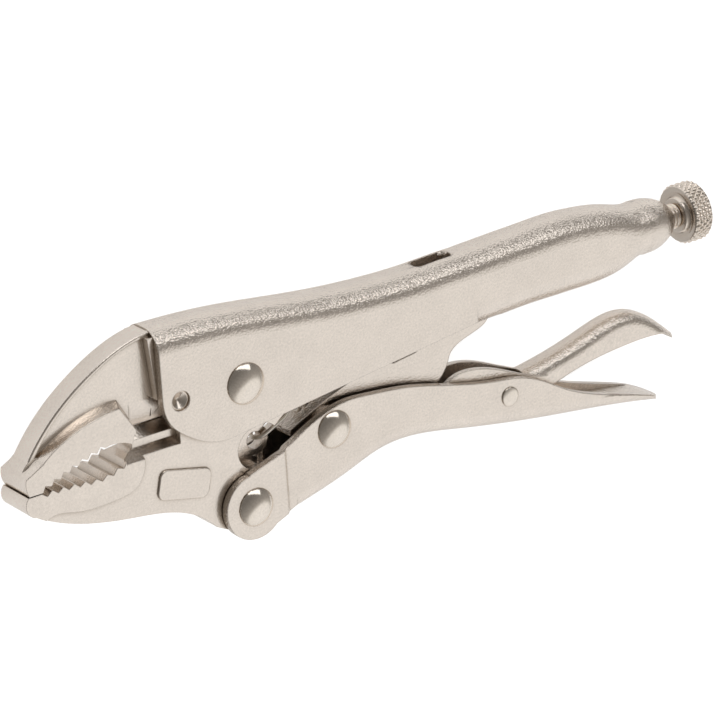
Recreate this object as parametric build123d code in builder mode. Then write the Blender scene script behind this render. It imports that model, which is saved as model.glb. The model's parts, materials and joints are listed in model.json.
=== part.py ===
from build123d import *
from math import atan2, cos, degrees, hypot, pi, sin
import os

# Locking pliers of the ten inch size with curved jaws, lying on one side with the other face up.
# The drawing is laid out from the jaw tip (x) and the axis of the adjusting screw (y), and its z is measured
# from the middle of the tool's thickness. All sizes are in millimetres.

# Pivots of the linkage
overall_length = 250.0
jaw_pivot_x = 74.5
jaw_pivot_y = -6.5
handle_pivot_x = 75.0
handle_pivot_y = -45.0
toggle_pivot_x = 104.5
toggle_pivot_y = -29.5
nose_x = 160.0
nose_y = -1.0
lever_pivot_x = 169.0
lever_pivot_y = -37.5

# Sheet metal and clearances
sheet = 2.5
jaw_thickness = 11.4
running_gap = 0.3
bore_gap = 0.05
jaw_gap = 0.3
joggle = 0.8

# Upper handle: front channel
front_x = 46.5
seam_x = 158.0
crown_front_y = 16.3
crown_seam_y = 10.6
fold_radius = 7.0
cheek_front_y = -4.0
cheek_low_x = 68.5
cheek_low_y = -21.6
cheek_end_x = 150.0
cheek_end_y = -11.4
window_x = 140.5
window_length = 14.0
window_width = 5.6
tongue_width = 3.6

# Upper handle: rear tube and swaged neck
tube_height = 24.9
tube_top_y = 12.5
mouth_end_x = 172.0
neck_length = 11.6
neck_clear = 12.4
neck_end_radius = 5.0
neck_hole_gap = 0.5
tube_steps = 12

# Adjusting screw, bush and knob
screw_radius = 4.0
bush_radius = 6.0
bush_length = 5.5
knob_radius = 9.55
knob_thickness = 7.0
knob_chamfer = 0.7
collar_radius = 5.6
collar_height = 1.2
spigot_radius = 3.0
nose_radius = 5.0
nose_gap = 2.7

# Rivets
jaw_rivet_radius = 3.6
jaw_head_radius = 6.2
handle_rivet_radius = 3.2
handle_head_radius = 5.75
head_rise = 2.7
tail_edge = 0.5
lever_rivet_radius = 1.9
lever_head_radius = 3.0
lever_head_rise = 0.8
stake_x = 52.5
stake_y = -5.6
stake_radius = 3.0
stake_recess = 0.7
stake_dish = 1.8

# Jaws
tip_x = 0.75
tip_y = -20.7
tip_land = 6.0
bite_rear_x = 36.5
upper_pitch = 3.25
lower_pitch = 3.6
tooth_depth = 1.25
upper_teeth = 7
lower_teeth = 8
rim_half = 4.0
web_half = 3.2
rim_width = 1.1
pad_rise = 1.1
pad_bevel = 0.35
badge_rise = 0.7
badge_length = 17.5
badge_height = 9.0
badge_corner = 2.4
edge_round = 0.8
cutter_front_x = 37.5
cutter_rear_x = 53.0
cutter_edge_y = -12.0
cutter_edge_half = 0.4
cutter_gap = 0.4
cutter_bevel = 3.0
cutter_rise = 7.7
blade_half = 3.0
hub_radius = 10.5
arm_radius = 9.0
ear_hole_x = 80.4
ear_hole_y = -27.7
ear_hole_radius = 2.6
ear_radius = 4.8
ear_recess_radius = 6.4
ear_recess_shift = 2.0
ear_thickness = 3.4

# Lower handle
ear_outer_radius = 10.0
web_front_x = 90.0
tail_end_x = 229.5
tail_end_y = -56.6
tail_round = 7.0
lower_fold_radius = 4.5
joggle_x = 86.0
joggle_run = 1.2

# Toggle link
link_width = 7.6
link_sheet = 2.0
link_eye_radius = 7.2
boss_radius = 6.0
slit_length = 11.0
slit_width = 3.4

# Release lever
lever_sheet = 1.8
lever_round = 4.2
lever_eye_radius = 5.0

# Tension spring
wire_radius = 0.65
coil_radius = 3.0
coil_turns = 17
wire_sides = 8
hook_x = 143.4
hook_y = 2.0
front_leg = 10.4
rear_leg = 4.0
hook_tail = 3.0

# Derived widths, measured from the middle plane
jaw_half = jaw_thickness / 2
pad_half = jaw_half + pad_rise
upper_inner = jaw_half + running_gap
upper_outer = upper_inner + sheet
lower_inner = upper_inner - joggle
lower_outer = lower_inner + sheet
link_half = link_width / 2
lever_half = lower_inner - running_gap
overrun = sheet + edge_round
inner_fold = fold_radius - sheet
rest_height = knob_radius
neck_end_x = overall_length - neck_clear
neck_x = neck_end_x - neck_length
axis_y = -(crown_front_y + tail_end_y) / 2
tube_bottom_y = tube_top_y - tube_height

# The drawing's own plane, seen from above, and square sections along the screw axis
drawing = Plane(origin=(-(tip_x + overall_length) / 2, axis_y, rest_height))
screw_axis = Axis(drawing.origin, (1, 0, 0))


def station(x):
    """Section across the tool at x: local x runs up the tool (y), local y through its thickness (z)."""
    return Plane(origin=drawing.from_local_coords((x, 0, 0)), x_dir=(0, 1, 0), z_dir=(1, 0, 0))


def plan(y):
    """Section along the tool at height y: local x runs along the tool, local y through its thickness."""
    return Plane(origin=drawing.from_local_coords((0, y, 0)), x_dir=(1, 0, 0), z_dir=(0, -1, 0))


def pin_plane(x, y):
    """Plane through a rivet's axis: local x is the radius and local y the height from the middle plane."""
    return Plane(origin=drawing.from_local_coords((x, y, 0)), x_dir=(1, 0, 0), z_dir=(0, -1, 0))


def pin_axis(x, y):
    return Axis(drawing.from_local_coords((x, y, 0)), (0, 0, 1))


def disc(x, y, radius):
    """Round face on the middle plane."""
    with BuildSketch(drawing) as face:
        with Locations((x, y)):
            Circle(radius)
    return face.sketch


def outline(*points):
    """Straight sided face on the middle plane."""
    with BuildSketch(drawing) as face:
        with BuildLine():
            Polyline(*points, close=True)
        make_face()
    return face.sketch


def outer_edges(part, half, sort_axis):
    """Edges on the part's two sides along the pair of faces at its end along sort_axis."""
    crown = part.faces().sort_by(sort_axis)[-2:]
    return crown.edges().filter_by(lambda edge: abs(abs(edge.center().Z - rest_height) - half) < bore_gap)


# Upper handle: crown line of the channel, and the straight lower edge of its cheeks
crown_line = (
    (front_x, crown_front_y),
    (70.0, crown_front_y - 0.9),
    (100.0, crown_seam_y + 1.3),
    (122.0, crown_seam_y - 0.4),
    (140.0, crown_seam_y - 0.6),
    (seam_x, crown_seam_y),
)


def cheek_edge(x):
    """Height of the cheek's lower edge behind its lowest point."""
    rise = (cheek_end_y - cheek_low_y) / (cheek_end_x - cheek_low_x)
    return cheek_low_y + rise * (x - cheek_low_x)


with BuildPart() as channel:
    with BuildSketch(drawing):
        with BuildLine():
            Spline(*crown_line, tangents=((1, 0), (1, 0)))
            Polyline((seam_x, crown_seam_y), (seam_x, cheek_edge(seam_x)), (cheek_low_x, cheek_low_y))
            Spline(
                (cheek_low_x, cheek_low_y),
                (54.0, -16.8),
                (front_x, cheek_front_y),
                tangents=((-1, -0.08), (0, 1)),
            )
            Line((front_x, cheek_front_y), (front_x, crown_front_y))
        make_face()
    extrude(amount=upper_outer, both=True)
    fillet(outer_edges(channel.part, upper_outer, Axis.Y), fold_radius)

with BuildPart() as channel_core:
    with BuildSketch(drawing):
        with BuildLine():
            lowered = [(x, y - sheet) for x, y in crown_line]
            lead_in = (front_x - overrun, crown_front_y - sheet)
            Line(lead_in, lowered[0])
            Spline(*lowered, tangents=((1, 0), (1, 0)))
            floor_y = cheek_low_y - overrun
            Polyline(lowered[-1], (seam_x, floor_y), (front_x - overrun, floor_y), lead_in)
        make_face()
    extrude(amount=upper_inner, both=True)
    top_edges = channel_core.edges().filter_by(lambda edge: edge.center().Y > axis_y)
    fillet(top_edges.filter_by(lambda edge: edge.length > sheet and abs(edge.tangent_at(0.5).X) > 0.9), inner_fold)

# Rear tube: rounded sections that turn from the channel's fold to the round neck. The main sections are named
# here, and the ones between them follow a smooth curve.
tube_shares = (0, 0.132, 0.324, 0.544, 0.735, 0.853, 0.926, 1)
tube_x = [seam_x + share * (neck_x - seam_x) for share in tube_shares]
tube_drop = tube_bottom_y + upper_outer
tube_top = (
    crown_seam_y,
    crown_seam_y + 0.6,
    tube_top_y - 0.6,
    tube_top_y,
    tube_top_y - 1.0,
    tube_top_y - 2.6,
    upper_outer + 0.1,
    upper_outer,
)
tube_low = (
    tube_bottom_y - 0.8,
    tube_bottom_y - 0.5,
    tube_bottom_y,
    tube_bottom_y,
    tube_drop * 0.95 - upper_outer,
    tube_drop * 0.64 - upper_outer,
    tube_drop * 0.18 - upper_outer,
    -upper_outer,
)
tube_corner = (
    fold_radius,
    fold_radius + 0.2,
    fold_radius + 0.5,
    upper_outer - 0.8,
    upper_outer - 0.7,
    upper_outer - 0.6,
    upper_outer - tail_edge,
    upper_outer - tail_edge,
)


def between(x, values):
    """Smooth curve through the values at the main sections."""
    last = len(tube_x) - 1
    slopes = []
    for here in range(last + 1):
        low = max(here - 1, 0)
        high = min(here + 1, last)
        slopes.append((values[high] - values[low]) / (tube_x[high] - tube_x[low]))
    here = max(step for step in range(last) if tube_x[step] <= x)
    span = tube_x[here + 1] - tube_x[here]
    t = (x - tube_x[here]) / span
    keep = 2 * t**3 - 3 * t**2 + 1
    start = (t**3 - 2 * t**2 + t) * span * slopes[here]
    end = (t**3 - t**2) * span * slopes[here + 1]
    return keep * values[here] + start + (1 - keep) * values[here + 1] + end


def tube(inset):
    """Rear tube, drawn in from its outside by inset."""
    with BuildPart() as body:
        for step in range(tube_steps + 1):
            x = seam_x + (neck_x - seam_x) * step / tube_steps
            top = between(x, tube_top) - inset
            low = between(x, tube_low) + inset
            with BuildSketch(station(x)):
                with Locations(((top + low) / 2, 0)):
                    RectangleRounded(top - low, 2 * (upper_outer - inset), between(x, tube_corner) - inset)
        loft()
    return body.part


tube_outside = tube(0)
tube_inside = tube(sheet)

with BuildPart() as neck:
    with BuildSketch(drawing):
        with BuildLine():
            nut_seat_x = neck_x + bush_length
            hole_radius = screw_radius + neck_hole_gap
            Line((neck_x, bush_radius), (neck_x, upper_outer))
            ThreePointArc((neck_x, upper_outer), (neck_x + 6.6, upper_outer - 0.7), (neck_end_x, neck_end_radius))
            Line((neck_end_x, neck_end_radius), (neck_end_x, hole_radius))
            Polyline((neck_end_x, hole_radius), (nut_seat_x, bush_radius), (neck_x, bush_radius))
        make_face()
    revolve(axis=screw_axis)

# Lanced tongue under the window, which the spring's rear hook holds
tongue_root = (window_x, crown_seam_y - 0.6 - sheet / 2)
tongue_tip = (hook_x + 1.3, hook_y - 1.8)
tongue_angle = degrees(atan2(tongue_tip[1] - tongue_root[1], tongue_tip[0] - tongue_root[0]))
tongue_length = hypot(tongue_tip[0] - tongue_root[0], tongue_tip[1] - tongue_root[1])

with BuildSketch(drawing) as tongue_side:
    with Locations(((tongue_root[0] + tongue_tip[0]) / 2, (tongue_root[1] + tongue_tip[1]) / 2)):
        Rectangle(tongue_length + sheet / 2, sheet * 0.8, rotation=tongue_angle)

with BuildSketch(plan(tube_top_y)) as window:
    with Locations((window_x + window_length / 2, 0)):
        RectangleRounded(window_length, window_width, window_width * 0.35)

with BuildSketch(plan(nose_y - nose_radius)) as mouth:
    slot_length = mouth_end_x - seam_x + overrun + upper_inner
    with Locations((mouth_end_x - slot_length / 2, 0)):
        SlotOverall(slot_length, 2 * upper_inner)

with BuildPart() as upper_handle:
    add(channel.part)
    add(channel_core.part, mode=Mode.SUBTRACT)
    add(tube_outside - tube_inside)
    add(neck.part)
    extrude(mouth.sketch, amount=tube_height, mode=Mode.SUBTRACT)
    extrude(window.sketch, amount=tube_top_y, mode=Mode.SUBTRACT)
    extrude(tongue_side.sketch, amount=tongue_width / 2, both=True)
    extrude(disc(jaw_pivot_x, jaw_pivot_y, jaw_rivet_radius), amount=tube_height, both=True, mode=Mode.SUBTRACT)
    extrude(disc(stake_x, stake_y, stake_radius), amount=tube_height, both=True, mode=Mode.SUBTRACT)

# Threaded bush, held in the swaged neck
with BuildPart() as end_bush:
    with BuildSketch(station(nut_seat_x - bush_length)):
        Circle(bush_radius)
        Circle(screw_radius + bore_gap, mode=Mode.SUBTRACT)
    extrude(amount=bush_length)

# Fixed jaw: a forging held between the cheeks, with a toothed bite, a recessed panel and a cutter
upper_land_y = tip_y + jaw_gap / 2
lower_land_y = tip_y - jaw_gap / 2
jaw_root_x = 62.0
shoulder_y = crown_front_y - 0.4
root_top_y = crown_front_y - sheet - inner_fold
root_floor_y = cutter_edge_y + 1.3


def teeth(curve, count, pitch, depth):
    """Row of V grooves at the pitch along the curve; the sign of depth tells which side they cut."""
    with BuildSketch(drawing) as grooves:
        for step in range(count):
            along = (step + 0.5) * pitch
            foot = curve.position_at(along, position_mode=PositionMode.LENGTH)
            run = curve.tangent_at(along, position_mode=PositionMode.LENGTH)
            square = Vector(-run.Y, run.X)
            lift = square * (depth * 0.5)
            half = run * (pitch / 2 + abs(depth) * 0.5)
            with BuildLine():
                Polyline(foot - half - lift, foot + half - lift, foot + square * depth, close=True)
            make_face()
    return grooves.sketch


upper_bite = Wire(
    [
        ThreePointArc((tip_land + 0.5, upper_land_y), (17.5, -16.3), (29.0, -12.9)),
        ThreePointArc((29.0, -12.9), (32.6, -13.1), (bite_rear_x, -14.6)),
    ]
)
lower_bite = Spline(
    (tip_land, lower_land_y),
    (12.0, -20.7),
    (19.0, -21.1),
    (25.5, -21.5),
    (31.0, -20.4),
    (bite_rear_x, -18.2),
)
upper_grooves = teeth(upper_bite, upper_teeth, upper_pitch, tooth_depth)
lower_grooves = teeth(lower_bite, lower_teeth, lower_pitch, -tooth_depth)

# Back of the fixed jaw from the handle to the nose, and the same line drawn in by the rim
nose_top = (3.9, -11.9)
back_line = ((front_x, shoulder_y), (36.6, 13.6), (25.7, 8.3), (14.2, 0.0), nose_top)
rim_line_in = [(x + 0.62 * rim_width, y - 0.78 * rim_width) for x, y in back_line[1:-1]]

with BuildSketch(drawing) as fixed_side:
    with BuildLine():
        Spline(*back_line)
        ThreePointArc(nose_top, (tip_x + 0.6, -16.4), (tip_x + 1.4, upper_land_y))
        Line((tip_x + 1.4, upper_land_y), (tip_land + 0.5, upper_land_y))
        add(upper_bite.edges())
        Polyline(
            (bite_rear_x, -14.6),
            (cutter_front_x, cutter_edge_y),
            (cutter_rear_x - 1.0, cutter_edge_y),
            (cutter_rear_x, root_floor_y),
            (front_x, root_floor_y),
            (front_x, shoulder_y),
        )
    make_face()

# Tang between the cheeks, as thick as the gap, with a shoulder in front of them
fixed_root = outline(
    (front_x - 2.0, shoulder_y - 1.4),
    (front_x, shoulder_y - 1.4),
    (front_x, root_top_y),
    (jaw_root_x, root_top_y - 0.8),
    (jaw_root_x, root_floor_y),
    (cutter_rear_x, root_floor_y),
    (cutter_rear_x - 1.0, cutter_edge_y),
    (front_x + 0.4, cutter_edge_y),
)

# Web between the rim and the toothed pad
with BuildSketch(drawing) as panel_side:
    with BuildLine():
        panel_tip = (6.4, -11.0)
        panel_rear = (front_x - 0.5, shoulder_y - 1.4)
        Spline(panel_rear, *rim_line_in, panel_tip)
        Polyline(panel_tip, (bite_rear_x, cutter_edge_y), (front_x + 0.2, cutter_edge_y), panel_rear)
    make_face()

# Toothed pad and nose, drawn at the web and again, smaller, at its face
pad_foot = ((5.8, -11.4), (9.6, -9.4), (18.1, -5.0), (25.6, -2.5), (30.8, -1.6), (34.4, -1.7))
pad_face = ((7.4, -12.4), (10.6, -9.9), (16.6, -6.9), (23.6, -4.5), (29.5, -3.4), (33.2, -2.9))


def pad_level(height, curve, *corners):
    """Pad outline at a height from the middle plane: a curved edge closed by straight lines."""
    with BuildSketch(drawing.offset(height)) as level:
        with BuildLine():
            Spline(*curve)
            Polyline(curve[-1], *corners, curve[0])
        make_face()
    return level.sketch


beyond_x = -overrun
below_y = tip_y - overrun
with BuildPart() as fixed_pad:
    for side in (1, -1):
        foot_corners = ((39.2, -10.6), (39.2, below_y), (beyond_x, below_y), (beyond_x, pad_foot[0][1] - 5.5))
        face_corners = ((38.0, -10.6), (38.0, below_y), (beyond_x, below_y), (beyond_x, pad_face[0][1] - 5.5))
        foot = pad_level(side * web_half, pad_foot, *foot_corners)
        face = pad_level(side * pad_half, pad_face, *face_corners)
        loft([foot, face], ruled=True)

with BuildSketch(station(cutter_front_x + 0.8)) as fixed_bevel:
    for side in (1, -1):
        with BuildLine():
            Polyline(
                (cutter_edge_y - jaw_gap, side * cutter_edge_half),
                (cutter_edge_y, side * cutter_edge_half),
                (cutter_edge_y + cutter_rise, side * web_half),
                (cutter_edge_y + cutter_rise, side * (pad_half + bore_gap)),
                (cutter_edge_y - jaw_gap, side * (pad_half + bore_gap)),
                close=True,
            )
        make_face()

with BuildPart() as fixed_blank:
    extrude(fixed_side.sketch, amount=pad_half, both=True)

with BuildPart() as fixed_jaw:
    extrude(fixed_side.sketch, amount=rim_half, both=True)
    back = fixed_jaw.edges().filter_by(GeomType.BSPLINE).filter_by(lambda edge: edge.length > bite_rear_x)
    fillet(back.filter_by(lambda edge: abs(edge.center().Z - rest_height) > web_half), edge_round * 0.75)
    for side in (1, -1):
        with BuildSketch(drawing.offset(side * web_half)):
            add(drawing.to_local_coords(panel_side.sketch))
        extrude(amount=side * overrun, mode=Mode.SUBTRACT)
    add(fixed_pad.part & fixed_blank.part)
    extrude(fixed_root, amount=upper_inner, both=True)
    extrude(upper_grooves, amount=tube_height, both=True, mode=Mode.SUBTRACT)
    extrude(fixed_bevel.sketch, amount=cutter_rear_x - cutter_front_x, mode=Mode.SUBTRACT)
    extrude(disc(stake_x, stake_y, stake_radius), amount=tube_height, both=True, mode=Mode.SUBTRACT)

# Pin that stakes the fixed jaw between the cheeks, with dished ends below the surface
stake_half = upper_outer - stake_recess
with BuildSketch(pin_plane(stake_x, stake_y)) as stake_half_section:
    with BuildLine():
        Line((0, -stake_half + stake_dish), (0, stake_half - stake_dish))
        Polyline(
            (0, stake_half - stake_dish),
            (stake_radius * 0.85, stake_half),
            (stake_radius, stake_half),
            (stake_radius, -stake_half),
            (stake_radius * 0.85, -stake_half),
            (0, -stake_half + stake_dish),
        )
    make_face()

with BuildPart() as fixed_jaw_pin:
    revolve(stake_half_section.sketch, axis=pin_axis(stake_x, stake_y))

# Movable jaw: bite, cutter block, hub on the jaw pivot, arm down to the handle pivot, spring ear
blade_y = cutter_edge_y - cutter_gap
blade_front_x = cutter_front_x + 1.0
with BuildSketch(drawing) as movable_side:
    with BuildLine():
        chin = (63.0, -48.6)
        nose_low = (3.9, -27.3)
        Line((tip_x + 1.0, lower_land_y), (tip_land, lower_land_y))
        add(lower_bite)
        Polyline(
            (bite_rear_x, -18.2),
            (blade_front_x, -17.5),
            (blade_front_x, blade_y),
            (cutter_rear_x, blade_y),
            (jaw_root_x + 1.5, blade_y + 0.8),
            (jaw_pivot_x, jaw_pivot_y),
            (handle_pivot_x, handle_pivot_y),
            (handle_pivot_x - 6.0, handle_pivot_y - 6.7),
            chin,
        )
        Spline(chin, (47.5, -39.3), (34.2, -37.1), (16.6, -33.3), nose_low)
        ThreePointArc(nose_low, (tip_x, -23.6), (tip_x + 1.0, lower_land_y))
    make_face()
    with BuildLine():
        Polyline(
            (jaw_pivot_x - 9.0, jaw_pivot_y - 5.4),
            (jaw_pivot_x + 10.2, jaw_pivot_y - 2.5),
            (jaw_pivot_x + 14.6, jaw_pivot_y - 8.0),
            (jaw_pivot_x + 15.6, jaw_pivot_y - 13.0),
            (ear_hole_x + 3.2, ear_hole_y + 3.2),
            (ear_hole_x, ear_hole_y),
            (ear_hole_x - 1.1, ear_hole_y - 5.6),
            (handle_pivot_x + 8.4, handle_pivot_y + 3.2),
            (handle_pivot_x, handle_pivot_y),
            (60.0, -30.0),
            close=True,
        )
    make_face()
    with Locations((jaw_pivot_x, jaw_pivot_y)):
        Circle(hub_radius)
    with Locations((handle_pivot_x, handle_pivot_y)):
        Circle(arm_radius)
    with Locations((ear_hole_x, ear_hole_y)):
        Circle(ear_radius)

pad_line = (
    (40.0, -19.0),
    (39.2, -25.0),
    (37.0, -27.8),
    (32.0, -29.4),
    (25.8, -29.9),
    (17.0, -29.4),
    (11.0, -28.2),
    (6.0, -29.6),
)
pad_skirt = [(x + 0.3, y - 0.5) for x, y in pad_line]
above_y = tip_y + tip_land
with BuildPart() as lower_pad:
    for side in (1, -1):
        foot = pad_level(side * web_half, pad_skirt, (beyond_x, -30.5), (beyond_x, above_y), (40.3, above_y))
        face = pad_level(side * pad_half, pad_line, (beyond_x, -30.0), (beyond_x, above_y), (40.0, above_y))
        loft([foot, face], ruled=True)

with BuildPart() as movable_blank:
    extrude(movable_side.sketch, amount=pad_half, both=True)

with BuildSketch(station(cutter_front_x - overrun)) as blade_bevel:
    for side in (1, -1):
        with BuildLine():
            Polyline(
                (blade_y + jaw_gap, side * cutter_edge_half),
                (blade_y, side * cutter_edge_half),
                (blade_y - cutter_bevel, side * blade_half),
                (blade_y - cutter_bevel - 2.2, side * blade_half),
                (blade_y - cutter_bevel - 5.0, side * (pad_half + bore_gap)),
                (blade_y + jaw_gap, side * (pad_half + bore_gap)),
                close=True,
            )
        make_face()

badge_tilt = -13.0
with BuildSketch(drawing) as badge_side:
    with Locations((53.0, -31.9)):
        RectangleRounded(badge_length, badge_height, badge_corner, rotation=badge_tilt)

with BuildPart() as movable_jaw:
    extrude(movable_side.sketch, amount=jaw_half, both=True)
    extrude(badge_side.sketch, amount=jaw_half + badge_rise, both=True)
    badge_rim = movable_jaw.faces().filter_by(Axis.Z).group_by(Axis.Z)
    fillet(badge_rim[-1].edges() + badge_rim[0].edges(), pad_bevel)
    add(lower_pad.part & movable_blank.part)
    extrude(lower_grooves, amount=tube_height, both=True, mode=Mode.SUBTRACT)
    extrude(blade_bevel.sketch, amount=cutter_rear_x - cutter_front_x + overrun, mode=Mode.SUBTRACT)
    for side in (1, -1):
        with BuildSketch(drawing.offset(side * ear_thickness / 2)):
            with Locations((ear_hole_x, ear_hole_y), (ear_hole_x - ear_recess_shift, ear_hole_y - 0.7)):
                Circle(ear_recess_radius)
        extrude(amount=side * upper_outer, mode=Mode.SUBTRACT)
    jaw_bore = disc(jaw_pivot_x, jaw_pivot_y, jaw_rivet_radius + bore_gap)
    arm_bore = disc(handle_pivot_x, handle_pivot_y, handle_rivet_radius + bore_gap)
    extrude(jaw_bore, amount=tube_height, both=True, mode=Mode.SUBTRACT)
    extrude(arm_bore, amount=tube_height, both=True, mode=Mode.SUBTRACT)
    extrude(disc(ear_hole_x, ear_hole_y, ear_hole_radius), amount=tube_height, both=True, mode=Mode.SUBTRACT)


def rivet_section(x, y, shank, head, rise, grip, tail_reach):
    """Half section of a rivet: domed head above the grip, plain shank, flat set tail below."""
    with BuildSketch(pin_plane(x, y)) as section:
        with BuildLine():
            crest = grip + rise
            skirt = grip + tail_edge * 0.6
            sag = (rise - tail_edge * 0.6) * 0.74
            Line((0, -tail_reach), (0, crest))
            ThreePointArc((0, crest), (head * 0.55, skirt + sag), (head, skirt))
            Polyline((head, skirt), (head, grip), (shank, grip), (shank, -grip), (head, -grip))
            Polyline(
                (head, -grip),
                (head, -tail_reach + tail_edge),
                (head - tail_edge, -tail_reach),
                (0, -tail_reach),
            )
        make_face()
    return section.sketch


jaw_rivet_section = rivet_section(
    jaw_pivot_x, jaw_pivot_y, jaw_rivet_radius, jaw_head_radius, head_rise, upper_outer, rest_height
)
handle_rivet_section = rivet_section(
    handle_pivot_x, handle_pivot_y, handle_rivet_radius, handle_head_radius, head_rise, upper_outer, rest_height
)
toggle_rivet_section = rivet_section(
    toggle_pivot_x, toggle_pivot_y, handle_rivet_radius, handle_head_radius, head_rise, lower_outer, rest_height
)
lever_rivet_section = rivet_section(
    lever_pivot_x,
    lever_pivot_y,
    lever_rivet_radius,
    lever_head_radius,
    lever_head_rise,
    lower_outer,
    lower_outer + lever_head_rise,
)

with BuildPart() as jaw_rivet:
    revolve(jaw_rivet_section, axis=pin_axis(jaw_pivot_x, jaw_pivot_y))

with BuildPart() as handle_rivet:
    revolve(handle_rivet_section, axis=pin_axis(handle_pivot_x, handle_pivot_y))

with BuildPart() as toggle_rivet:
    revolve(toggle_rivet_section, axis=pin_axis(toggle_pivot_x, toggle_pivot_y))

with BuildPart() as lever_rivet:
    revolve(lever_rivet_section, axis=pin_axis(lever_pivot_x, lever_pivot_y))

# Lower handle: a channel open toward the upper handle, two ears joggled outward, and a dished tail
sole_line = (
    (web_front_x, -51.2),
    (96.5, -49.6),
    (110.4, -45.6),
    (122.0, -41.9),
    (133.0, -41.2),
    (151.0, -44.0),
    (181.4, -49.2),
    (212.7, -53.5),
    (tail_end_x, tail_end_y),
)
rim_line = (
    (web_front_x, -29.2),
    (101.7, -23.8),
    (110.0, -22.1),
    (118.3, -22.5),
    (132.1, -24.1),
    (146.3, -27.5),
    (164.9, -31.4),
    (173.0, -32.6),
    (182.0, -36.2),
    (192.0, -42.0),
    (200.0, -45.4),
    (214.0, -49.8),
    (tail_end_x, tail_end_y + 1.6),
)

with BuildPart() as trough:
    with BuildSketch(drawing):
        with BuildLine():
            Spline(*rim_line)
            Line(rim_line[-1], sole_line[-1])
            Spline(*reversed(sole_line))
            Line(sole_line[0], rim_line[0])
        make_face()
    extrude(amount=lower_outer, both=True)
    sole = trough.faces().filter_by(lambda face: face.normal_at().Y < -0.6)
    side_edges = sole.edges().filter_by(lambda edge: edge.length > web_front_x)
    fillet(side_edges.filter_by(lambda edge: abs(edge.center().Z - rest_height) > sheet), lower_fold_radius)

with BuildPart() as trough_core:
    with BuildSketch(drawing):
        with BuildLine():
            raised = [(x, y + sheet) for x, y in sole_line[:-1]]
            raised.append((tail_end_x + overrun, tail_end_y + 1.6))
            roof_y = jaw_pivot_y
            Spline(*raised)
            Polyline(
                raised[-1],
                (tail_end_x + overrun, roof_y),
                (web_front_x - overrun, roof_y),
                (web_front_x - overrun, raised[0][1]),
                raised[0],
            )
        make_face()
    extrude(amount=lower_inner, both=True)

ear_side = outline(
    (handle_pivot_x - 1.2, handle_pivot_y + 10.3),
    (joggle_x, -31.0),
    rim_line[0],
    (web_front_x, -49.0),
    (handle_pivot_x + 6.8, handle_pivot_y - 7.3),
    (handle_pivot_x + 2.0, handle_pivot_y - 9.8),
    (handle_pivot_x - 6.0, handle_pivot_y),
)

with BuildSketch(plan(roof_y)) as ear_plan:
    for side in (1, -1):
        with BuildLine():
            Polyline(
                (handle_pivot_x - 2 * ear_outer_radius, side * upper_inner),
                (joggle_x, side * upper_inner),
                (joggle_x + joggle_run, side * lower_inner),
                (web_front_x, side * lower_inner),
                (web_front_x, side * lower_outer),
                (joggle_x + joggle_run, side * lower_outer),
                (joggle_x, side * upper_outer),
                (handle_pivot_x - 2 * ear_outer_radius, side * upper_outer),
                close=True,
            )
        make_face()

with BuildPart() as ears:
    extrude(ear_side, amount=tube_height, both=True)
    extrude(disc(handle_pivot_x, handle_pivot_y, ear_outer_radius), amount=tube_height, both=True)
    extrude(ear_plan.sketch, amount=overall_length, mode=Mode.INTERSECT)

with BuildSketch(plan(roof_y)) as tail_plan:
    with Locations(((web_front_x + tail_end_x) / 2, 0)):
        Rectangle(tail_end_x - web_front_x, 2 * lower_outer)
    fillet(tail_plan.vertices().group_by(Axis.X)[-1], tail_round)

with BuildPart() as lower_handle:
    add(trough.part)
    add(trough_core.part, mode=Mode.SUBTRACT)
    extrude(tail_plan.sketch, amount=overall_length, mode=Mode.INTERSECT)
    add(ears.part)
    for x, y, radius in (
        (handle_pivot_x, handle_pivot_y, handle_rivet_radius),
        (toggle_pivot_x, toggle_pivot_y, handle_rivet_radius),
        (lever_pivot_x, lever_pivot_y, lever_rivet_radius),
    ):
        extrude(disc(x, y, radius), amount=tube_height, both=True, mode=Mode.SUBTRACT)

# Toggle link: folded sheet with its fold on top, a solid nose against the screw and a fin below
link_top = (
    (toggle_pivot_x - 13.0, toggle_pivot_y + 2.4),
    (toggle_pivot_x - 2.0, toggle_pivot_y + 7.4),
    (111.9, -18.9),
    (150.0, -4.4),
    (nose_x - 2.0, nose_y + 4.6),
)
with BuildSketch(drawing) as link_side:
    with BuildLine():
        Polyline(*link_top)
        Line(link_top[-1], (nose_x + 3.0, nose_y - 3.0))
        Spline((nose_x + 3.0, nose_y - 3.0), (nose_x + 4.2, -8.0), (165.2, -11.2), (155.2, -16.6), (149.9, -20.9))
        Spline((149.9, -20.9), (146.4, -26.3), (138.0, -31.0), (118.0, -35.6), (toggle_pivot_x, -36.6))
        Line((toggle_pivot_x, -36.6), (toggle_pivot_x - 6.6, toggle_pivot_y - 2.8))
        Line((toggle_pivot_x - 6.6, toggle_pivot_y - 2.8), (link_top[0][0], link_top[0][1] - link_sheet))
        Line((link_top[0][0], link_top[0][1] - link_sheet), link_top[0])
    make_face()
    with Locations((nose_x, nose_y)):
        Circle(nose_radius)
    with Locations((toggle_pivot_x, toggle_pivot_y)):
        Circle(link_eye_radius)

link_hollow = outline(
    (toggle_pivot_x - 6 * overrun, link_top[0][1] - link_sheet),
    (link_top[0][0], link_top[0][1] - link_sheet),
    (link_top[1][0], link_top[1][1] - link_sheet),
    (link_top[2][0], link_top[2][1] - link_sheet),
    (link_top[3][0], link_top[3][1] - link_sheet),
    (nose_x - nose_radius, nose_y - nose_radius),
    (nose_x + nose_radius, nose_y - 2 * nose_radius),
    (nose_x + 2 * nose_radius, nose_y - 5 * nose_radius),
    (nose_x, nose_y - 9 * nose_radius),
    (toggle_pivot_x - 6 * overrun, nose_y - 9 * nose_radius),
)

with BuildSketch(drawing) as link_slit:
    with Locations((133.6, -14.6)):
        SlotOverall(slit_length, slit_width, rotation=8.0)

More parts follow.
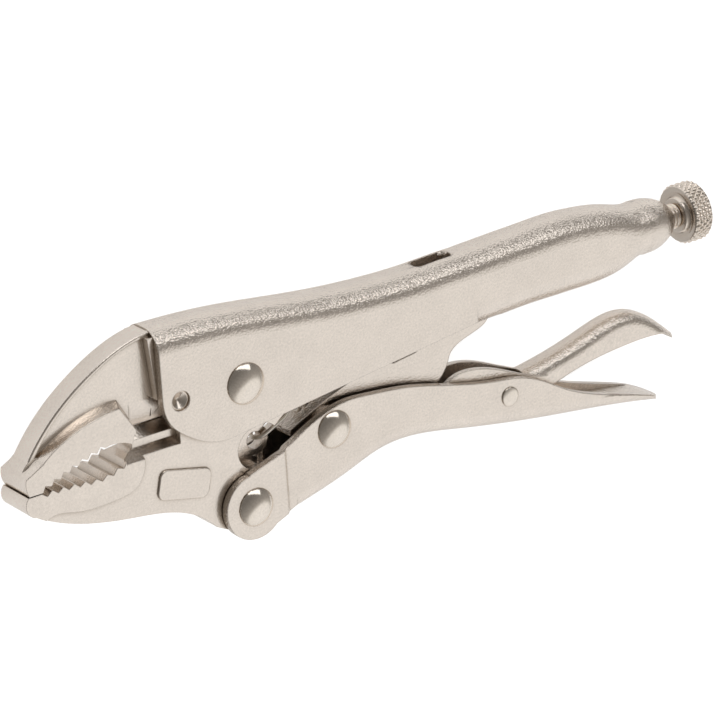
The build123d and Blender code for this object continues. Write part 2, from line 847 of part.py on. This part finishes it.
with BuildPart() as toggle_link:
    extrude(link_side.sketch, amount=link_half, both=True)
    extrude(link_hollow, amount=link_half - link_sheet, both=True, mode=Mode.SUBTRACT)
    extrude(link_slit.sketch, amount=upper_outer, both=True, mode=Mode.SUBTRACT)
    extrude(disc(toggle_pivot_x, toggle_pivot_y, boss_radius), amount=lower_inner - running_gap, both=True)
    link_bore = disc(toggle_pivot_x, toggle_pivot_y, handle_rivet_radius + bore_gap)
    extrude(link_bore, amount=upper_outer, both=True, mode=Mode.SUBTRACT)

# Release lever: two plates on a small rivet, joined by a rounded crown along the tail
crown_tail = (
    (178.0, -33.4),
    (187.0, -31.9),
    (200.0, -28.8),
    (209.0, -26.2),
    (216.0, -25.1),
    (221.0, -25.6),
    (226.0, -27.6),
    (231.0, -31.1),
    (237.2, -36.6),
)
lever_front = (147.6, -28.8)
deep_y = lever_pivot_y - 3 * lever_eye_radius
high_y = lever_pivot_y + 4 * lever_eye_radius
with BuildPart() as lever_tail:
    with BuildSketch(drawing):
        with BuildLine():
            Spline(*crown_tail)
            Polyline(crown_tail[-1], (crown_tail[-1][0], deep_y), (crown_tail[0][0], deep_y), crown_tail[0])
        make_face()
    extrude(amount=lever_half, both=True)
    fillet(outer_edges(lever_tail.part, lever_half, Axis.Y), lever_round)

with BuildSketch(drawing) as lever_plates:
    with BuildLine():
        blend_x = crown_tail[0][0] + 2 * lever_round
        Spline(lever_front, (151.6, -26.8), (156.5, -26.4), (168.0, -29.4), (blend_x, crown_tail[0][1] - 3.0))
        Polyline((blend_x, crown_tail[0][1] - 3.0), (blend_x, deep_y), (lever_front[0], deep_y), lever_front)
    make_face()

with BuildSketch(drawing) as lever_under:
    with BuildLine():
        curl = (236.0, -37.9)
        Spline(curl, (232.2, -35.4), (228.0, -34.7), (217.5, -34.8), (206.9, -35.7), (190.8, -39.0))
        Spline((190.8, -39.0), (178.0, -42.0), (lever_pivot_x, lever_pivot_y - lever_eye_radius), (154.0, -34.0))
        Polyline(
            (154.0, -34.0),
            lever_front,
            (lever_front[0] - overrun, lever_front[1]),
            (lever_front[0] - overrun, deep_y - overrun),
            (crown_tail[-1][0] + overrun, deep_y - overrun),
            (crown_tail[-1][0] + overrun, crown_tail[-1][1]),
            crown_tail[-1],
            curl,
        )
    make_face()

with BuildPart() as lever_core:
    with BuildSketch(drawing):
        with BuildLine():
            under = [(x, y - lever_sheet) for x, y in crown_tail[:-1]]
            Spline(*under)
            Polyline(
                under[-1],
                (under[-1][0] + 3.2, under[-1][1] - 3.2),
                (under[-1][0] + 3.2, deep_y),
                (front_x, deep_y),
                (front_x, high_y),
                (under[0][0], high_y),
                under[0],
            )
        make_face()
    extrude(amount=lever_half - lever_sheet, both=True)

with BuildPart() as release_lever:
    add(lever_tail.part)
    extrude(lever_plates.sketch, amount=lever_half, both=True)
    extrude(lever_under.sketch, amount=upper_outer, both=True, mode=Mode.SUBTRACT)
    add(lever_core.part, mode=Mode.SUBTRACT)
    lever_bore = disc(lever_pivot_x, lever_pivot_y, lever_rivet_radius + bore_gap)
    extrude(lever_bore, amount=upper_outer, both=True, mode=Mode.SUBTRACT)

# Adjusting screw: plain rod at the thread's outer size, with a spigot headed over the knob
screw_tip_x = nose_x + nose_radius + nose_gap
knob_x = overall_length - knob_thickness
spigot_x = knob_x - collar_height - running_gap
with BuildPart() as adjusting_screw:
    with BuildSketch(drawing):
        with BuildLine():
            end_x = overall_length - knob_chamfer
            Polyline(
                (screw_tip_x, 0),
                (screw_tip_x, screw_radius - 1.0),
                (screw_tip_x + 1.0, screw_radius),
                (spigot_x, screw_radius),
                (spigot_x, spigot_radius),
                (end_x - 1.0, spigot_radius),
                (end_x - 1.0, spigot_radius + 1.0),
                (end_x, spigot_radius + 0.5),
                (end_x, 0),
                close=True,
            )
        make_face()
    revolve(axis=screw_axis)

with BuildPart() as screw_knob:
    with BuildSketch(drawing):
        with BuildLine():
            bore = spigot_radius + bore_gap
            well_x = end_x - 1.0 - running_gap
            well_radius = spigot_radius + 1.0 + running_gap
            Polyline(
                (knob_x - collar_height, bore),
                (knob_x - collar_height, collar_radius - 0.4),
                (knob_x - collar_height + 0.4, collar_radius),
                (knob_x, collar_radius + 0.2),
                (knob_x, knob_radius - knob_chamfer),
                (knob_x + knob_chamfer, knob_radius),
                (overall_length - knob_chamfer, knob_radius),
                (overall_length, knob_radius - knob_chamfer),
                (overall_length, well_radius),
                (well_x, well_radius),
                (well_x, bore),
                close=True,
            )
        make_face()
    revolve(axis=screw_axis)

# Tension spring: hook, straight leg, coil, leg, hook, as one unbroken wire
spring_run = hypot(hook_x - ear_hole_x, hook_y - ear_hole_y)
along_u = Vector((hook_x - ear_hole_x) / spring_run, (hook_y - ear_hole_y) / spring_run, 0)
across_u = Vector(0, 0, 1).cross(along_u)
ear_point = drawing.from_local_coords(Vector(ear_hole_x, ear_hole_y, 0))
loop_start = wire_radius + coil_radius
coil_start = loop_start + front_leg
coil_end = spring_run - rear_leg
coil_pitch = (coil_end - coil_start) / coil_turns


def wire_point(distance, angle):
    """Point of the wire at a distance along the spring and an angle round it, from the upper side."""
    radial = Vector(0, 0, 1) * cos(angle) + across_u * sin(angle)
    return ear_point + along_u * distance + radial * coil_radius


def wire_heading(angle):
    """Direction of the coil's wire at the angle."""
    turning = across_u * cos(angle) - Vector(0, 0, 1) * sin(angle)
    return (turning * (2 * pi * coil_radius) + along_u * coil_pitch).normalized()


def biarc(start, start_dir, end, end_dir):
    """Two arcs that meet with one tangent between two directed points."""
    span = end - start
    total = start_dir + end_dir
    square = span.dot(span)
    mixed = span.dot(total)
    fall = 2 * (1 - start_dir.dot(end_dir))
    reach = (-mixed + (mixed * mixed + fall * square) ** 0.5) / fall
    middle = (start + end + (start_dir - end_dir) * reach) * 0.5
    first = TangentArc(start, middle, tangent=start_dir)
    second = TangentArc(middle, end, tangent=first % 1)
    return first, second


halves = range(2 * coil_turns)
knots = [(coil_start + coil_pitch * (step / 2 + 1 / 4), pi * step + pi / 2) for step in halves]
with BuildPart() as spring:
    with BuildLine() as wire_path:
        Line(wire_point(loop_start + hook_tail, pi), wire_point(loop_start, pi))
        TangentArc(wire_point(loop_start, pi), ear_point + along_u * (loop_start - coil_radius), tangent=-along_u)
        TangentArc(
            ear_point + along_u * (loop_start - coil_radius), wire_point(loop_start, 0), tangent=Vector(0, 0, 1)
        )
        Line(wire_point(loop_start, 0), wire_point(coil_start - coil_pitch, 0))
        biarc(wire_point(coil_start - coil_pitch, 0), along_u, wire_point(*knots[0]), wire_heading(knots[0][1]))
        for here, there in zip(knots[:-1], knots[1:]):
            biarc(wire_point(*here), wire_heading(here[1]), wire_point(*there), wire_heading(there[1]))
        last = knots[-1]
        biarc(wire_point(*last), wire_heading(last[1]), wire_point(coil_end + coil_pitch, 0), along_u)
        Line(wire_point(coil_end + coil_pitch, 0), wire_point(spring_run, 0))
        far_side = ear_point + along_u * (spring_run + coil_radius)
        TangentArc(wire_point(spring_run, 0), far_side, tangent=along_u)
        TangentArc(far_side, wire_point(spring_run, pi), tangent=Vector(0, 0, -1))
        Line(wire_point(spring_run, pi), wire_point(spring_run - 2 * wire_radius, pi))
    with BuildSketch(Plane(origin=wire_path.line @ 0, z_dir=wire_path.line % 0)):
        RegularPolygon(wire_radius, wire_sides)
    sweep()

# Least gap between neighbouring turns of the wire, measured from its own points
samples = 40 * coil_turns
turn_points = [
    wire_point(coil_start + coil_pitch * coil_turns * step / samples, 2 * pi * coil_turns * step / samples)
    for step in range(samples + 1)
]
apart = samples // coil_turns // 2
least = min(
    (turn_points[a] - turn_points[b]).length
    for a in range(0, len(turn_points), 4)
    for b in range(a + apart, min(a + 3 * apart, len(turn_points)))
)
print("spring self gap mm", round(least - 2 * wire_radius, 3))

os.makedirs("parts", exist_ok=True)
pieces = {
    "upper_handle": upper_handle,
    "end_bush": end_bush,
    "fixed_jaw": fixed_jaw,
    "fixed_jaw_pin": fixed_jaw_pin,
    "jaw_rivet": jaw_rivet,
    "movable_jaw": movable_jaw,
    "lower_handle": lower_handle,
    "handle_rivet": handle_rivet,
    "toggle_rivet": toggle_rivet,
    "lever_rivet": lever_rivet,
    "toggle_link": toggle_link,
    "release_lever": release_lever,
    "adjusting_screw": adjusting_screw,
    "screw_knob": screw_knob,
    "spring": spring,
}
for name, piece in pieces.items():
    piece.part.label = name
    export_step(piece.part, f"parts/{name}.step")
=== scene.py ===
"""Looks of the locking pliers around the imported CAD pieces: finishes, fine detail, camera and light."""

import json
import math

import bpy
from mathutils import Matrix, Vector


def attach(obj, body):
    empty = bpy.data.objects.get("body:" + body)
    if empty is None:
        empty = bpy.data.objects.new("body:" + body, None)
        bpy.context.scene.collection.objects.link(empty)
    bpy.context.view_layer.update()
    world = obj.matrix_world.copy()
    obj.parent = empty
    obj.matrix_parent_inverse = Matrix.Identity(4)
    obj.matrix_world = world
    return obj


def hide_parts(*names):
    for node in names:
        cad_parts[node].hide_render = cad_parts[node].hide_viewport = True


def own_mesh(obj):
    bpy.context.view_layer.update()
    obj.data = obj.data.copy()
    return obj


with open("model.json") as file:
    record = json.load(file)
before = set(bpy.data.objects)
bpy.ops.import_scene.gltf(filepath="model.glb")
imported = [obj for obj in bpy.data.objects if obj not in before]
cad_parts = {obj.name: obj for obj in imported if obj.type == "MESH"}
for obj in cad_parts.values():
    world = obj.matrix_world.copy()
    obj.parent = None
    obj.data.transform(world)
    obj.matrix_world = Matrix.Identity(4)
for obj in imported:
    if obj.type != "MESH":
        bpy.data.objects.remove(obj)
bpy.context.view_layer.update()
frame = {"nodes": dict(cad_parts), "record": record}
nodes = frame["nodes"]
scene = bpy.context.scene

# The drawing is in millimetres: x from the jaw tip, y from the screw's axis, z from the middle plane
MM = 0.001
LENGTH = 250.0
TIP = 0.75
AXIS_Y = 20.15
MID_Z = 9.55
ACROSS_PLANE = Vector((0, 0, 1))


def place(x, y, z):
    """Drawing millimetres to the row frame in metres."""
    return Vector(((x - (LENGTH + TIP) / 2) * MM, (y + AXIS_Y) * MM, (z + MID_Z) * MM))


# Shader helpers: a value is a number, a colour or the socket that gives it
def feed(tree, socket, value):
    if isinstance(value, bpy.types.NodeSocket):
        tree.links.new(value, socket)
    else:
        socket.default_value = value


def noise(tree, vector, scale, detail):
    node = tree.nodes.new("ShaderNodeTexNoise")
    node.inputs["Scale"].default_value = scale
    node.inputs["Detail"].default_value = detail
    tree.links.new(vector, node.inputs["Vector"])
    return node.outputs["Fac"]


def compute(tree, operation, *values):
    node = tree.nodes.new("ShaderNodeMath")
    node.operation = operation
    for socket, value in zip(node.inputs, values):
        feed(tree, socket, value)
    return node.outputs["Value"]


def remap(tree, value, start, end, low=0.0, high=1.0):
    """Value from start..end to low..high, clamped."""
    node = tree.nodes.new("ShaderNodeMapRange")
    node.inputs["From Min"].default_value = start
    node.inputs["From Max"].default_value = end
    node.inputs["To Min"].default_value = low
    node.inputs["To Max"].default_value = high
    tree.links.new(value, node.inputs["Value"])
    return node.outputs["Result"]


def mix(tree, kind, share, first, second, blend="MIX"):
    """Mix of two values, kind FLOAT or RGBA."""
    node = tree.nodes.new("ShaderNodeMix")
    node.data_type = kind
    node.blend_type = blend
    feed(tree, node.inputs["Factor"], share)
    feed(tree, node.inputs["A"], first)
    feed(tree, node.inputs["B"], second)
    return node.outputs["Result"]


def opaque(color, gain=1.0):
    return (*[c * gain for c in color], 1.0)


# Materials
MOTTLE_SCALE = 140.0
FINE_SCALE = 1500.0
FINE_SHARE = 0.6
GRAIN = 0.08
# Brown of rough sheared edges, also used as painted shade on their down-facing sides
EDGE_COLOR = (0.30, 0.25, 0.20)
# Tint and reach in millimetres of the painted shade in corners and gaps
SHADE_TINT_COLOR = (1.12, 1.0, 0.86)
SHADE_REACH = 1.8
PEEL_HEIGHT = 0.4
PEEL_ON_FLATS = 0.4
WHITE = (1.0, 1.0, 1.0)


def metal(name, color, rough, speckle, edge_stain_and_shade=0.0, corner=0.4, painted_shade=0.5, deep=0.1, end_face_shade=0.0):
    """Plated metal with fine mottling, an orange peel bump and eased corners.

    speckle is the strength of the peel and corner the easing in millimetres. edge_stain_and_shade darkens
    the down-facing sides of sheared edges: their own rough brown tone, with painted shade on the side away
    from the light. painted_shade is painted shade in corners, all of it where they are as closed as deep.
    end_face_shade is painted shade on faces across the screw's axis.
    """
    mat = bpy.data.materials.new(name)
    mat.use_nodes = True
    tree = mat.node_tree
    tree.nodes.clear()
    out = tree.nodes.new("ShaderNodeOutputMaterial")
    shader = tree.nodes.new("ShaderNodeBsdfPrincipled")
    tree.links.new(shader.outputs["BSDF"], out.inputs["Surface"])
    shader.inputs["Metallic"].default_value = 1.0

    coord = tree.nodes.new("ShaderNodeTexCoord")
    normal = tree.nodes.new("ShaderNodeSeparateXYZ")
    tree.links.new(coord.outputs["Normal"], normal.inputs["Vector"])
    flatness = compute(tree, "ABSOLUTE", normal.outputs["Z"])

    # Mottled tone
    mottle = noise(tree, coord.outputs["Object"], MOTTLE_SCALE, 5.0)
    fine = noise(tree, coord.outputs["Object"], FINE_SCALE, 2.0)
    grains = remap(tree, mix(tree, "FLOAT", FINE_SHARE, mottle, fine), 0.3, 0.7)
    shade = mix(tree, "RGBA", grains, opaque(color, 1.0 - GRAIN), opaque(color, 1.0 + GRAIN))

    # Sheared edges that face down: their rough brown tone and painted shade on the side away from the light
    if edge_stain_and_shade > 0.0:
        upright = remap(tree, flatness, 0.0, 0.35, edge_stain_and_shade, 0.0)
        under = remap(tree, normal.outputs["Y"], 0.25, -0.35)
        underside_stain_and_shade = compute(tree, "MULTIPLY", upright, under)
        shade = mix(tree, "RGBA", underside_stain_and_shade, shade, opaque(EDGE_COLOR))

    # Painted shade: faces across the screw's axis are darker than the rim
    if end_face_shade > 0.0:
        end_on = remap(tree, compute(tree, "ABSOLUTE", normal.outputs["X"]), 0.6, 0.9)
        shade = mix(tree, "RGBA", end_on, shade, opaque(color, 1.0 - end_face_shade))

    # Painted shade: a warm darkening in corners and gaps, strongest where they are most closed
    hollow = tree.nodes.new("ShaderNodeAmbientOcclusion")
    hollow.samples = 8
    hollow.inputs["Distance"].default_value = SHADE_REACH * MM
    openness = remap(tree, hollow.outputs["AO"], deep, 0.95)
    shade_tint = mix(tree, "RGBA", openness, opaque(SHADE_TINT_COLOR, 1.0 - painted_shade), opaque(WHITE))
    shade = mix(tree, "RGBA", 1.0, shade, shade_tint, blend="MULTIPLY")
    tree.links.new(shade, shader.inputs["Base Color"])

    gloss = remap(tree, mottle, 0.0, 1.0, rough * 0.88, rough * 1.15)
    tree.links.new(gloss, shader.inputs["Roughness"])

    # Flats are pressed smooth; folds and rounds keep the full orange peel
    peel = remap(tree, flatness, 0.70, 0.99, speckle, speckle * PEEL_ON_FLATS)
    eased = tree.nodes.new("ShaderNodeBevel")
    eased.samples = 6
    eased.inputs["Radius"].default_value = corner * MM
    bump = tree.nodes.new("ShaderNodeBump")
    bump.inputs["Distance"].default_value = PEEL_HEIGHT * MM
    tree.links.new(peel, bump.inputs["Strength"])
    tree.links.new(fine, bump.inputs["Height"])
    tree.links.new(eased.outputs["Normal"], bump.inputs["Normal"])
    tree.links.new(bump.outputs["Normal"], shader.inputs["Normal"])
    return mat


NICKEL = (0.82, 0.75, 0.68)
RIVET_COLOR = (0.86, 0.79, 0.71)
SCREW_COLOR = (0.92, 0.84, 0.76)
KNOB_COLOR = (0.88, 0.80, 0.72)
STEEL_COLOR = (0.80, 0.73, 0.66)
WIRE_COLOR = (0.74, 0.69, 0.62)
# In these finishes the darkening of corners, down-facing sheared edges and the knob's end faces is painted
# shade
finishes = {
    "plated_sheet": metal("plated_sheet", NICKEL, 0.22, 0.7, edge_stain_and_shade=0.6, corner=0.6),
    "plated_forging": metal("plated_forging", NICKEL, 0.22, 0.14, painted_shade=0.6, deep=0.4),
    "polished_rivet": metal("polished_rivet", RIVET_COLOR, 0.14, 0.04),
    "screw_steel": metal("screw_steel", SCREW_COLOR, 0.26, 0.10, corner=0.15, painted_shade=0.05),
    "knob_steel": metal("knob_steel", KNOB_COLOR, 0.24, 0.10, corner=0.15, painted_shade=0.35, end_face_shade=0.42),
    "plain_steel": metal("plain_steel", STEEL_COLOR, 0.22, 0.1, painted_shade=0.3),
    "spring_wire": metal("spring_wire", WIRE_COLOR, 0.28, 0.1, corner=0.1, painted_shade=0.2),
}
slot_of = {entry["node"]: entry["material_slot"] for entry in frame["record"]["subparts"]}


def dress(obj, mat):
    obj.data.materials.clear()
    obj.data.materials.append(mat)


# CAD pieces keep their own shape
WELD_DISTANCE = 2e-6
for name, obj in nodes.items():
    dress(obj, finishes[slot_of[name]])
    weld = obj.modifiers.new("weld", "WELD")
    weld.merge_threshold = WELD_DISTANCE


# Pieces with detail that the solids leave plain
def mesh_piece(name, verts, faces, mat, body, node):
    """Smooth mesh that stands in for one CAD node."""
    mesh = bpy.data.meshes.new(name)
    mesh.from_pydata([tuple(v) for v in verts], [], faces)
    mesh.validate()
    mesh.update()
    obj = bpy.data.objects.new(name, mesh)
    scene.collection.objects.link(obj)
    dress(obj, mat)
    for poly in mesh.polygons:
        poly.use_smooth = True
    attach(obj, body)
    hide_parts(node)
    return obj


def skin(rings, steps):
    """Faces between rings of vertices, closed at both ends."""
    faces = []
    for ring in range(rings - 1):
        for step in range(steps):
            a = ring * steps + step
            b = ring * steps + (step + 1) % steps
            faces.append((a, b, b + steps, a + steps))
    last = (rings - 1) * steps
    faces.append(tuple(reversed(range(steps))))
    faces.append(tuple(range(last, last + steps)))
    return faces


def lathe(rows, steps):
    """Closed surface round the screw's axis, from rows of x and a radius that depends on the angle."""
    verts = []
    for x, radius in rows:
        for step in range(steps):
            angle = 2 * math.pi * step / steps
            r = radius(angle)
            verts.append(place(x, r * math.cos(angle), r * math.sin(angle)))
    return verts, skin(len(rows), steps)


def plain(r):
    return lambda angle: r


def profile(start, pairs):
    """Plain rows from pairs of distance past the start and radius."""
    return [(start + offset, plain(r)) for offset, r in pairs]


# Adjusting screw: a helical thread on the CAD rod, a plain spigot under the knob and its riveted end
PITCH = 1.25
SCREW_R = 4.0
THREAD_DEPTH = 0.65
GROOVE_SLOPE = 2.6
TIP_X = 167.7
TIP_R = 2.9
TIP_TAPER = 1.5
SPIGOT_X = 241.5
END_X = 249.3
ROWS_PER_PITCH = 8
SCREW_STEPS = 40


def thread(x):
    def radius(angle):
        phase = (x / PITCH - angle / (2 * math.pi)) % 1.0
        crest = min(abs(phase - 0.5) * GROOVE_SLOPE, 1.0)
        taper = min(1.0, (x - TIP_X) / TIP_TAPER + 0.25)
        return min(SCREW_R - THREAD_DEPTH * (1.0 - crest), SCREW_R - (1.0 - taper))

    return radius


rows = [(TIP_X, plain(TIP_R))]
count = int((SPIGOT_X - TIP_X) / PITCH * ROWS_PER_PITCH)
for step in range(1, count):
    x = TIP_X + (SPIGOT_X - TIP_X) * step / count
    rows.append((x, thread(x)))
rows += profile(SPIGOT_X, [(0.0, 3.2), (0.0, 3.0)])
rows += profile(END_X, [(-1.0, 3.0), (-1.0, 3.95), (-0.3, 3.8), (0.0, 3.2)])
verts, faces = lathe(rows, SCREW_STEPS)
mesh_piece("screw_thread", verts, faces, finishes["screw_steel"], "screw", "adjusting_screw")

# Knob: diamond knurl on the rim, a raised hub in front and a dished ring behind
KNOB_X = 243.0
KNOB_R = 9.55
KNOB_FRONT = [
    (-1.15, 3.1),
    (-1.2, 5.2),
    (-0.8, 5.6),
    (0.35, 5.75),
    (0.4, 6.9),
    (0.0, 7.4),
    (0.0, 8.55),
    (0.25, 8.9),
]
KNOB_BACK = [
    (-0.25, 8.9),
    (0.0, 8.55),
    (0.0, 6.6),
    (-0.4, 6.2),
    (-0.4, 4.7),
    (-1.9, 4.4),
    (-2.0, 3.1),
]
RIM_CHAMFER = 0.7
TEETH = 28
KNURL_DEPTH = 0.75
KNURL_LENGTH = 2.4
KNURL_ROWS = 25
STEPS_PER_TOOTH = 8


def knurl(x):
    """Diamonds left between two crossing sets of grooves."""

    def radius(angle):
        turn = math.pi * (x - KNOB_X) / KNURL_LENGTH
        a = abs(math.sin(TEETH / 2 * angle + turn))
        b = abs(math.sin(TEETH / 2 * angle - turn))
        return KNOB_R - KNURL_DEPTH * (1.0 - min(a, b))

    return radius


rows = profile(KNOB_X, KNOB_FRONT)
rim_length = LENGTH - KNOB_X - 2 * RIM_CHAMFER
for step in range(KNURL_ROWS):
    x = KNOB_X + RIM_CHAMFER + rim_length * step / (KNURL_ROWS - 1)
    rows.append((x, knurl(x)))
rows += profile(LENGTH, KNOB_BACK)
verts, faces = lathe(rows, TEETH * STEPS_PER_TOOTH)
mesh_piece("knob_knurled", verts, faces, finishes["knob_steel"], "knob", "screw_knob")

# Spring: the same hooks, legs and coil as the CAD wire, as one round tube
EAR = Vector((80.4, -27.7, 0.0))
HOOK = Vector((143.4, 2.0, 0.0))
WIRE_R = 0.65
COIL_R = 3.0
TURNS = 17
FRONT_LEG = 10.4
REAR_LEG = 4.0
HOOK_RETURN = 3.0
STEPS_PER_TURN = 16
HOOK_STEPS = 12
WIRE_SIDES = 10
run = (HOOK - EAR).length
along = (HOOK - EAR) / run
across = ACROSS_PLANE.cross(along)
loop_start = WIRE_R + COIL_R
coil_start = loop_start + FRONT_LEG
coil_end = run - REAR_LEG
coil_pitch = (coil_end - coil_start) / TURNS


def wire(distance, angle):
    """Point on the coil's radius, at a distance from the ear along the spring."""
    radial = ACROSS_PLANE * math.cos(angle) + across * math.sin(angle)
    return EAR + along * distance + radial * COIL_R


def hook(centre, side):
    """Half loop round a point on the spring's axis; side is -1 at the ear and 1 at the rear."""
    points = []
    for step in range(HOOK_STEPS + 1):
        turn = math.pi * step / HOOK_STEPS
        reach = along * (centre + side * COIL_R * math.sin(turn))
        points.append(EAR + reach + ACROSS_PLANE * (side * COIL_R * math.cos(turn)))
    return points


path = [wire(loop_start + HOOK_RETURN, math.pi)]
path += hook(loop_start, -1)
path.append(wire(coil_start - coil_pitch, 0))
for step in range(1, TURNS * STEPS_PER_TURN):
    turn = step / STEPS_PER_TURN
    path.append(wire(coil_start + coil_pitch * turn, 2 * math.pi * turn))
path.append(wire(coil_end + coil_pitch, 0))
path += hook(run, 1)
path.append(wire(run - 2 * WIRE_R, math.pi))


def tube(points, r, steps):
    """Round tube along the points, carried without twist."""
    verts = []
    last = len(points) - 1
    side = (points[1] - points[0]).orthogonal().normalized()
    for i, point in enumerate(points):
        ahead = points[min(i + 1, last)] - points[max(i - 1, 0)]
        ahead.normalize()
        side = (side - ahead * side.dot(ahead)).normalized()
        up = ahead.cross(side)
        for step in range(steps):
            angle = 2 * math.pi * step / steps
            verts.append(place(*(point + side * (r * math.cos(angle)) + up * (r * math.sin(angle)))))
    return verts, skin(len(points), steps)


verts, faces = tube(path, WIRE_R, WIRE_SIDES)
coil = mesh_piece("spring_wire", verts, faces, finishes["spring_wire"], "frame", "spring")
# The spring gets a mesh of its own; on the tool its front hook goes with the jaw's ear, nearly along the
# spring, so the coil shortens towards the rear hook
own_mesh(coil)

# Camera from the fitted view
CAMERA_AT = place(-463.40, 388.10, 844.59)
RIGHT = Vector((0.8068, -0.0565, 0.5881))
UP = Vector((0.2508, 0.9340, -0.2544))
BACK = Vector((-0.5349, 0.3528, 0.7678))
camera = bpy.data.objects.new("camera", bpy.data.cameras.new("camera"))
scene.collection.objects.link(camera)
camera.matrix_world = Matrix(
    (
        (RIGHT.x, UP.x, BACK.x, CAMERA_AT.x),
        (RIGHT.y, UP.y, BACK.y, CAMERA_AT.y),
        (RIGHT.z, UP.z, BACK.z, CAMERA_AT.z),
        (0, 0, 0, 1),
    )
)
camera.data.sensor_width = 36.0
camera.data.lens = 187.73
camera.data.shift_x = -0.0140
camera.data.shift_y = -0.0693
camera.data.clip_start = 0.05
camera.data.clip_end = 20.0
scene.camera = camera

# Floor: white to the camera, grey in reflections, with a soft shadow
FLOOR_REACH = 3.0
SEEN_GLOW = 0.80
MIRRORED_GLOW = 0.40
floor_mesh = bpy.data.meshes.new("floor")
corners = [
    (-FLOOR_REACH, -FLOOR_REACH, 0),
    (FLOOR_REACH, -FLOOR_REACH, 0),
    (FLOOR_REACH, FLOOR_REACH, 0),
    (-FLOOR_REACH, FLOOR_REACH, 0),
]
floor_mesh.from_pydata(corners, [], [(0, 1, 2, 3)])
floor = bpy.data.objects.new("floor", floor_mesh)
scene.collection.objects.link(floor)
paper = bpy.data.materials.new("paper")
paper.use_nodes = True
tree = paper.node_tree
tree.nodes.clear()
out = tree.nodes.new("ShaderNodeOutputMaterial")
matte = tree.nodes.new("ShaderNodeBsdfDiffuse")
matte.inputs["Color"].default_value = (0.9, 0.9, 0.9, 1)
glow = tree.nodes.new("ShaderNodeEmission")
rays = tree.nodes.new("ShaderNodeLightPath")
seen = compute(tree, "MULTIPLY", rays.outputs["Is Camera Ray"], SEEN_GLOW)
strength = compute(tree, "MULTIPLY_ADD", rays.outputs["Is Glossy Ray"], MIRRORED_GLOW, seen)
tree.links.new(strength, glow.inputs["Strength"])
both = tree.nodes.new("ShaderNodeAddShader")
tree.links.new(matte.outputs["BSDF"], both.inputs[0])
tree.links.new(glow.outputs["Emission"], both.inputs[1])
tree.links.new(both.outputs["Shader"], out.inputs["Surface"])
floor_mesh.materials.append(paper)

# World: a light screen on the side that the flats mirror, warm and dark on the other side
SCREEN_SIDE = (0.45, -0.70, 0.55)
DARKEST = (0.165, 0.155, 0.145, 1)
LIGHTEST = (0.90, 0.89, 0.88, 1)
# Place between the two sides, red, and green and blue as shares of red
STEPS_TO_LIGHT = (
    (0.30, 0.225, 0.95, 0.89),
    (0.60, 0.32, 0.95, 0.89),
    (0.70, 0.47, 0.965, 0.92),
    (0.80, 0.86, 0.985, 0.96),
)
world = bpy.data.worlds.new("studio")
scene.world = world
world.use_nodes = True
tree = world.node_tree
tree.nodes.clear()
out = tree.nodes.new("ShaderNodeOutputWorld")
sky = tree.nodes.new("ShaderNodeBackground")
tree.links.new(sky.outputs["Background"], out.inputs["Surface"])
coord = tree.nodes.new("ShaderNodeTexCoord")
toward = tree.nodes.new("ShaderNodeVectorMath")
toward.operation = "DOT_PRODUCT"
toward.inputs[1].default_value = SCREEN_SIDE
tree.links.new(coord.outputs["Generated"], toward.inputs[0])
ramp = tree.nodes.new("ShaderNodeValToRGB")
stops = ramp.color_ramp.elements
stops[0].position = 0.0
stops[0].color = DARKEST
stops[1].position = 1.0
stops[1].color = LIGHTEST
for share, red, green, blue in STEPS_TO_LIGHT:
    stop = stops.new(share)
    stop.color = (red, red * green, red * blue, 1)
tree.links.new(toward.outputs["Value"], ramp.inputs["Fac"])
tree.links.new(ramp.outputs["Color"], sky.inputs["Color"])

AIM = Vector((0, 0, 0.01))


def softbox(name, at, size, power):
    data = bpy.data.lights.new(name, "AREA")
    data.shape = "RECTANGLE"
    data.size = size[0]
    data.size_y = size[1]
    data.energy = power
    lamp = bpy.data.objects.new(name, data)
    scene.collection.objects.link(lamp)
    lamp.location = at
    lamp.rotation_euler = (AIM - Vector(at)).to_track_quat("-Z", "Y").to_euler()


softbox("key", (0.33, 0.91, 0.68), (1.2, 0.42), 2.2)
softbox("low", (-0.08, 1.14, 0.37), (0.6, 0.35), 1.1)

scene.view_settings.view_transform = "Standard"
